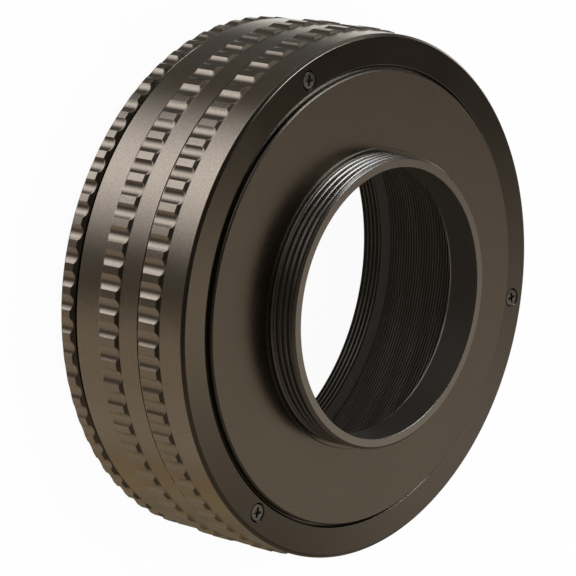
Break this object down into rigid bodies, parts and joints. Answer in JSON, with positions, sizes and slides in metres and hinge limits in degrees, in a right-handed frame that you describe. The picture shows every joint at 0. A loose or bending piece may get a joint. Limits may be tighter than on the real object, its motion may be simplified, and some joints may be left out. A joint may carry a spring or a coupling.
{
  "type": "macro extension tube",
  "caption": "Helicoid macro extension tube: turning the scalloped focus ring lifts the threaded lens neck away from the rear thread along the optical axis.",
  "frame": {"origin": "centre of the rear face, on the optical axis, with the tube standing on that face", "axes": "+Z along the optical axis, from the rear thread to the lens neck; -Y faces the side seen in the picture"},
  "size_m": [0.0764, 0.0764, 0.0294],
  "materials": {
    "satin_anodised": "satin black anodised",
    "matt_anodised": "matt black anodised",
    "thread_anodised": "black anodised, lightly greased",
    "key_brass": "plain machined brass",
    "screw_black": "blackened steel",
    "pin_steel": "plain steel"
  },
  "bodies": {
    "rear": {"rear_grip_ring": "satin_anodised", "rear_mount_ring": "thread_anodised", "rear_barrel": "thread_anodised", "rear_screw_1": "screw_black", "rear_screw_2": "screw_black", "rear_screw_3": "screw_black"},
    "guide": {"guide_ring": "matt_anodised", "guide_key_1": "key_brass", "guide_key_2": "key_brass", "guide_key_3": "key_brass"},
    "focus": {"focus_ring": "satin_anodised", "focus_sleeve": "thread_anodised", "drive_nut": "thread_anodised", "stop_pin": "pin_steel"},
    "front": {"front_barrel": "matt_anodised", "front_grip_ring": "satin_anodised", "mount_flange": "satin_anodised", "cover_screw_1": "screw_black", "cover_screw_2": "screw_black", "cover_screw_3": "screw_black"}
  },
  "joints": [
    {"name": "guide_rise", "type": "slide", "parent": "rear", "child": "guide", "axis": [0, 0, 1], "range_m": [0, 0.0125]},
    {"name": "focus_turn", "type": "hinge", "parent": "guide", "child": "focus", "pos_m": [0, 0, 0], "axis": [0, 0, 1], "range_deg": [0, 300]},
    {"name": "front_rise", "type": "slide", "parent": "guide", "child": "front", "axis": [0, 0, 1], "range_m": [0, 0.0125]}
  ],
  "couplings": [
    {"joint": "guide_rise", "follows": "focus_turn", "m_per_rad": 0.0023873},
    {"joint": "front_rise", "follows": "focus_turn", "m_per_rad": 0.0023873}
  ]
}
